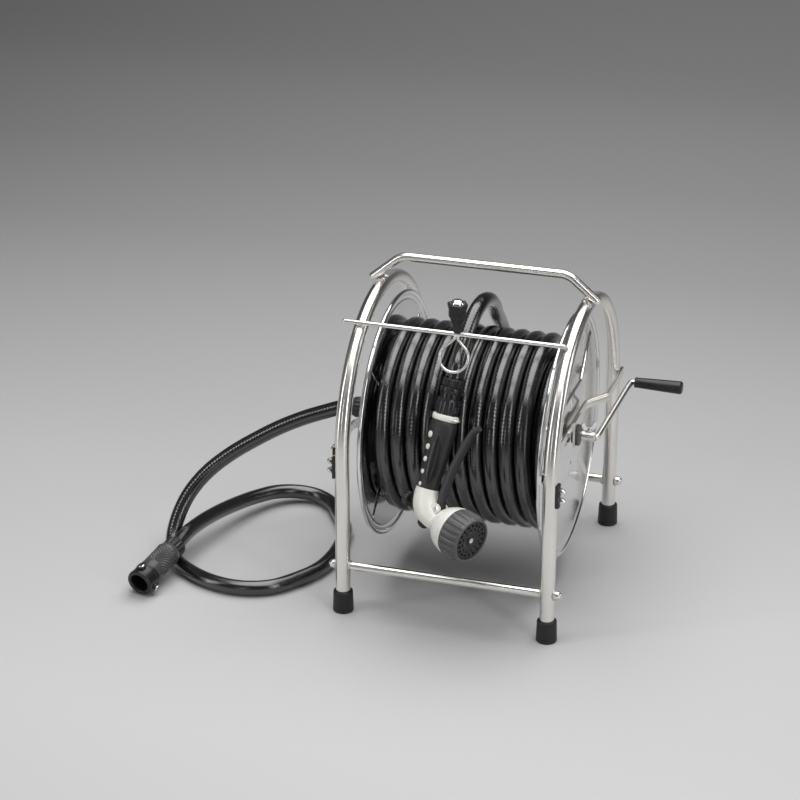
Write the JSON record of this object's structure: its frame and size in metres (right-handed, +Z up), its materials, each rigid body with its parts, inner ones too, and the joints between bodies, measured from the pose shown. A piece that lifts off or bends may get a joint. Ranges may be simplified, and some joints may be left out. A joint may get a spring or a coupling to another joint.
{
  "type": "hose reel",
  "caption": "Portable hose reel: a drum of garden hose between two bent tube hoops on rubber feet, with a side crank, carry handle, supply hose with tap adapter and hung spray nozzle",
  "frame": {"origin": "on the floor, under the middle of the box around the rigid reel, which leaves out the two free hoses and what is on them", "axes": "+Z up, +X along the drum's axle towards the crank, +Y to the rear, away from the hung spray nozzle"},
  "size_m": [0.6587, 0.4318, 0.4367],
  "materials": {
    "polished_stainless": "bright polished",
    "foot_rubber": "satin moulded",
    "hose_rubber": "glossy, with a faint braid",
    "black_plastic": "satin moulded",
    "grey_nylon": "satin moulded",
    "plated_brass": "machined",
    "grey_plastic": "satin moulded",
    "dark_grey_plastic": "satin moulded",
    "cream_plastic": "glossy moulded"
  },
  "bodies": {
    "frame": {"hoop_left": "polished_stainless", "hoop_right": "polished_stainless", "foot_front_left": "foot_rubber", "foot_front_right": "foot_rubber", "foot_rear_left": "foot_rubber", "foot_rear_right": "foot_rubber", "lower_rod_front": "polished_stainless", "lower_rod_rear": "polished_stainless", "carry_handle": "polished_stainless", "hanger_rod": "polished_stainless", "strap_left": "polished_stainless", "strap_right": "polished_stainless", "bush_left": "grey_nylon", "bush_right": "grey_nylon", "nozzle_ring": "polished_stainless", "hose_peg": "black_plastic", "peg_cap": "polished_stainless", "leg_clip_left": "black_plastic", "leg_clip_right": "black_plastic", "clip_nuts_left": "polished_stainless", "clip_nuts_right": "polished_stainless", "swivel_body": "plated_brass", "swivel_seal": "foot_rubber", "inlet_gland": "black_plastic", "inlet_hose": "hose_rubber", "tap_nut": "black_plastic", "tap_body": "grey_plastic", "tap_collar": "black_plastic", "tap_washer": "foot_rubber", "tap_screws": "polished_stainless", "hose_tail": "hose_rubber", "hose_nut": "black_plastic", "connector_body": "dark_grey_plastic", "nozzle_collar": "cream_plastic", "lock_loop": "polished_stainless", "nozzle_grip": "dark_grey_plastic", "grip_inlay": "black_plastic", "grip_dots": "cream_plastic", "nozzle_body": "cream_plastic", "valve_cap": "black_plastic", "nozzle_bell": "cream_plastic", "trigger_pin": "polished_stainless"},
    "drum": {"flange_left": "polished_stainless", "flange_right": "polished_stainless", "barrel": "polished_stainless", "hub_left": "polished_stainless", "hub_right": "polished_stainless", "hub_bolts": "polished_stainless", "water_shaft": "polished_stainless", "crank_shaft": "polished_stainless", "hose_winding": "hose_rubber", "crank_arm": "polished_stainless", "wing_bolt": "polished_stainless"},
    "grip": {"crank_grip": "black_plastic"},
    "dial": {"pattern_dial": "grey_plastic", "dial_face": "black_plastic"},
    "trigger": {"trigger": "grey_plastic"},
    "sleeve": {"connector_sleeve": "black_plastic"},
    "flow_knob": {"flow_knob": "black_plastic"}
  },
  "joints": [
    {"name": "drum_spin", "type": "hinge", "parent": "frame", "child": "drum", "pos_m": [-0.0296, 0, 0.21], "axis": [1, 0, 0], "continuous": true},
    {"name": "grip_spin", "type": "hinge", "parent": "drum", "child": "grip", "pos_m": [0.1704, 0.14597, 0.22896], "axis": [1, 0, 0], "continuous": true},
    {"name": "dial_turn", "type": "hinge", "parent": "frame", "child": "dial", "pos_m": [0.00635, -0.21285, 0.15205], "axis": [0.8757, -0.4721, -0.1015], "continuous": true},
    {"name": "trigger_pull", "type": "hinge", "parent": "frame", "child": "trigger", "pos_m": [-0.03178, -0.1853, 0.1713], "axis": [0.4014, 0.8285, -0.3905], "range_deg": [-9, 0], "stiffness_Nm_per_rad": 0.8, "springref_deg": 8.59},
    {"name": "sleeve_slide", "type": "slide", "parent": "frame", "child": "sleeve", "axis": [0.136, 0.3677, 0.9199], "range_m": [0, 0.006], "stiffness_N_per_m": 900, "springref_m": -0.004},
    {"name": "flow_knob_turn", "type": "hinge", "parent": "frame", "child": "flow_knob", "pos_m": [-0.07992, -0.16328, 0.16853], "axis": [0.9058, -0.4224, 0.0349], "range_deg": [0, 270]}
  ]
}
